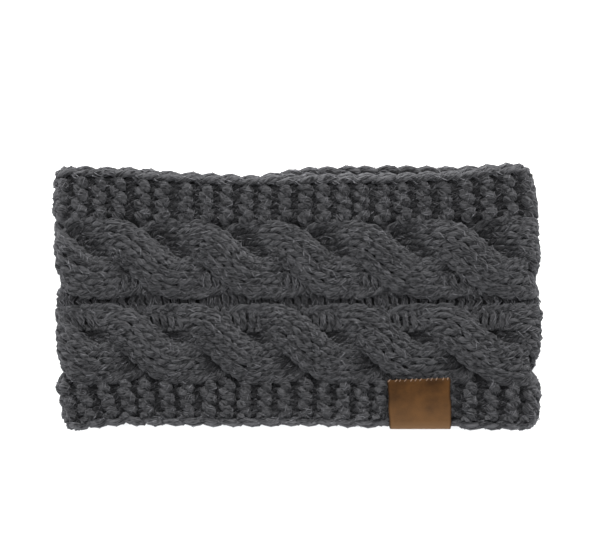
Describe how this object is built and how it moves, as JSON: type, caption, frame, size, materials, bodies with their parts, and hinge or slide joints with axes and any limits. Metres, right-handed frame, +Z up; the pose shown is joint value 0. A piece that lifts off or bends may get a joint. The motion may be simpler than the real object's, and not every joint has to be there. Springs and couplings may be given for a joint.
{
  "type": "ear warmer headband",
  "caption": "Wide cable-knit ear warmer headband lying flat as a closed loop, with garter borders and a plain folded leather label on its lower edge.",
  "frame": {"origin": "bottom centre of the flat-lying band", "axes": "+X along the band from the left fold to the right fold, +Y across the band towards its upper edge, +Z up out of the front layer"},
  "size_m": [0.2086, 0.1144, 0.0234],
  "materials": {
    "wool_knit": "chunky charcoal grey yarn, matt and slightly fuzzy",
    "leather": "smooth brown leather, semi-matt, cut edges darker"
  },
  "bodies": {
    "root": {"knit_band": "wool_knit", "label": "leather"}
  },
  "joints": []
}
